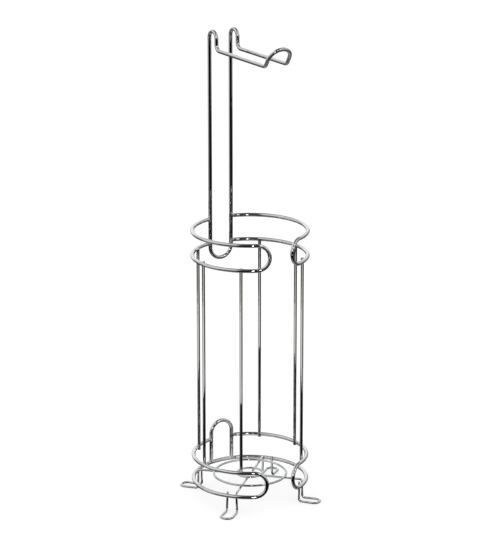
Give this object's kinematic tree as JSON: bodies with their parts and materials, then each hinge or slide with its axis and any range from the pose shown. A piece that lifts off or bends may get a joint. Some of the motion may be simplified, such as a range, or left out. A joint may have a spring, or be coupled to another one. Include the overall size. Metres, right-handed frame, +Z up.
{
  "type": "toilet roll storage holder",
  "caption": "Free-standing chromed wire stand with a round column for spare toilet rolls and a hooked double arm above it for the roll in use.",
  "frame": {"origin": "on the floor, on the axis of the round column, which is the centre of the bounding box's bottom", "axes": "+Z up along the column; -Y to the front, the way the arm points and where the bands are open; +X to the right of someone who faces that front"},
  "size_m": [0.1538, 0.1538, 0.5999],
  "materials": {
    "heavy_chrome": "bright polished chrome on the heavy wire",
    "strut_chrome": "bright polished chrome on the drawn strut wire",
    "thin_chrome": "bright polished chrome on the thin wire"
  },
  "bodies": {
    "root": {"dispenser": "heavy_chrome", "top_band_left": "heavy_chrome", "top_band_right": "heavy_chrome", "low_band": "heavy_chrome", "rear_arch": "heavy_chrome", "strut_front_left": "strut_chrome", "strut_side_left": "strut_chrome", "strut_rear_left": "strut_chrome", "strut_front_right": "strut_chrome", "strut_side_right": "strut_chrome", "strut_rear_right": "strut_chrome", "base_ring_large": "thin_chrome", "base_ring_small": "thin_chrome", "foot_front_left": "thin_chrome", "foot_front_right": "thin_chrome", "foot_rear_right": "thin_chrome", "foot_rear_left": "thin_chrome"}
  },
  "joints": []
}
